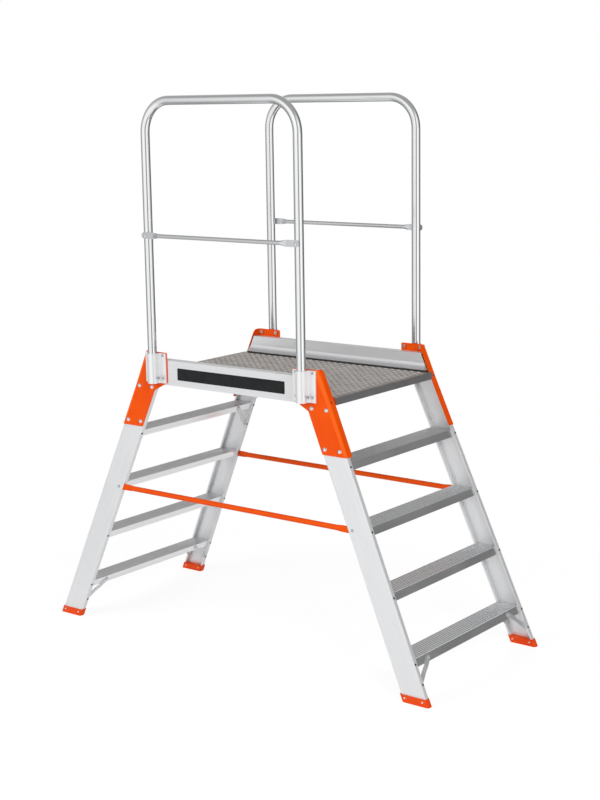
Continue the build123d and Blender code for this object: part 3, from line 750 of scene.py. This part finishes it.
direction = addNode(tree, "ShaderNodeTexCoord").outputs["Generated"]
axes = addNode(tree, "ShaderNodeSeparateXYZ", {"Vector": direction})
compass = addNode(tree, "ShaderNodeMath", {0: axes.outputs["Y"], 1: axes.outputs["X"]}, operation="ARCTAN2")
share = addNode(tree, "ShaderNodeMapRange", {
    "Value": compass.outputs[0], "From Min": -math.pi, "From Max": math.pi})
walls = []
for level in (1, 2):    # below the horizon, then above it
    stops = [((step[0] + 180) / 360, grey(step[level])) for step in studio["rounds"]]
    wall = addNode(tree, "ShaderNodeValToRGB", {"Fac": share.outputs["Result"]}, stops=stops)
    wall.color_ramp.interpolation = "EASE"
    walls.append(wall.outputs["Color"])
horizon = addNode(tree, "ShaderNodeMapRange", {
    "Value": axes.outputs["Z"], "From Min": -studio["horizonBlur"], "From Max": studio["horizonBlur"]},
    interpolation_type="SMOOTHSTEP")
around = addNode(tree, "ShaderNodeMix", {
    "Factor": horizon.outputs["Result"], "A": walls[0], "B": walls[1]}, data_type="RGBA")
height = addNode(tree, "ShaderNodeMapRange", {
    "Value": axes.outputs["Z"], "From Min": studio["overheadFrom"], "From Max": studio["overheadTo"]},
    interpolation_type="SMOOTHSTEP")
room = addNode(tree, "ShaderNodeMix", {
    "Factor": height.outputs["Result"], "A": around.outputs["Result"], "B": grey(studio["overhead"])},
    data_type="RGBA")
path = addNode(tree, "ShaderNodeLightPath")
glossy = addNode(tree, "ShaderNodeMath", {
    0: path.outputs["Is Glossy Ray"], 1: studio["whiteShare"], 2: path.outputs["Is Camera Ray"]},
    operation="MULTIPLY_ADD")
seen = addNode(tree, "ShaderNodeMath", {0: glossy.outputs[0], 1: path.outputs["Is Transmission Ray"]},
               operation="ADD", use_clamp=True)
backdrop = addNode(tree, "ShaderNodeMix", {
    "Factor": seen.outputs[0], "A": room.outputs["Result"], "B": white}, data_type="RGBA")
tree.links.new(backdrop.outputs["Result"], sky.inputs["Color"])

# the lamps: large softboxes at the front left and behind, a smaller one at the right
lamps = {
    "keySoftbox": {"place": (-2.4, -4.2, 3.4), "size": 3.6, "watts": 88},
    "rightSoftbox": {"place": (4.4, -2.6, 3.4), "size": 2.4, "watts": 114},
    "backSoftbox": {"place": (-1.6, 4.6, 2.4), "size": 3.0, "watts": 60},
}
lampAim = Vector((0, 0, 0.9))
for lampName, look in lamps.items():
    lampData = bpy.data.lights.new(lampName, "AREA")
    lampData.shape = "SQUARE"
    lampData.size = look["size"]
    lampData.energy = look["watts"]
    lamp = bpy.data.objects.new(lampName, lampData)
    lamp.location = look["place"]
    lamp.visible_glossy = False     # the metal mirrors the soft walls, not the lamps' hard edges
    lamp.rotation_euler = (lampAim - Vector(look["place"])).to_track_quat("-Z", "Y").to_euler()
    scene.collection.objects.link(lamp)

# the floor: white paper that fades into the backdrop and keeps the shadow of the feet
floorLook = {
    "radius": 2.2,
    "fadeFrom": 1.3,
    "below": 0.0005,        # just clear of the soles
    "albedo": 0.80,
    "whiteHold": 0.72,      # how much of the white the camera sees, the rest shows the shadow
    "gleamHold": 0.50,      # the metal sees part of the white and part of the lit paper
    "whiteStrength": 1.16,  # a little over 1, which keeps the lit paper white
    "steps": 96,
}
floorShape = bmesh.new()
bmesh.ops.create_circle(floorShape, cap_ends=True, segments=floorLook["steps"], radius=floorLook["radius"])
floorMesh = bpy.data.meshes.new("paperFloor")
floorShape.to_mesh(floorMesh)
floorShape.free()
floor = bpy.data.objects.new("paperFloor", floorMesh)
floor.location = (0, 0, -floorLook["below"])
scene.collection.objects.link(floor)
paper = bpy.data.materials.new("whiteBackgroundPaper")
paper.use_nodes = True
floorMesh.materials.append(paper)
tree = paper.node_tree
tree.nodes.remove(tree.nodes["Principled BSDF"])
output = tree.nodes["Material Output"]
place = addNode(tree, "ShaderNodeTexCoord").outputs["Object"]
distance = addNode(tree, "ShaderNodeVectorMath", {0: place}, operation="LENGTH")
fade = addNode(tree, "ShaderNodeMapRange", {
    "Value": distance.outputs["Value"], "From Min": floorLook["fadeFrom"], "From Max": floorLook["radius"]},
    interpolation_type="SMOOTHSTEP")
matt = addNode(tree, "ShaderNodeBsdfDiffuse", {"Color": grey(floorLook["albedo"])})
glow = addNode(tree, "ShaderNodeEmission", {"Color": white, "Strength": floorLook["whiteStrength"]})
clear = addNode(tree, "ShaderNodeBsdfTransparent")
path = addNode(tree, "ShaderNodeLightPath")
direct = addNode(tree, "ShaderNodeMath", {
    0: path.outputs["Is Camera Ray"], 1: path.outputs["Is Transmission Ray"]}, operation="MAXIMUM")
held = addNode(tree, "ShaderNodeMath", {0: direct.outputs[0], 1: floorLook["whiteHold"]},
               operation="MULTIPLY")
hold = addNode(tree, "ShaderNodeMath", {
    0: path.outputs["Is Glossy Ray"], 1: floorLook["gleamHold"], 2: held.outputs[0]},
    operation="MULTIPLY_ADD")
lit = addNode(tree, "ShaderNodeMixShader", {0: hold.outputs[0], 1: matt.outputs[0], 2: glow.outputs[0]})
edge = addNode(tree, "ShaderNodeMixShader", {
    0: fade.outputs["Result"], 1: lit.outputs[0], 2: clear.outputs[0]})
tree.links.new(edge.outputs[0], output.inputs["Surface"])
print("studio: world, floor and", len(lamps), "lamps")
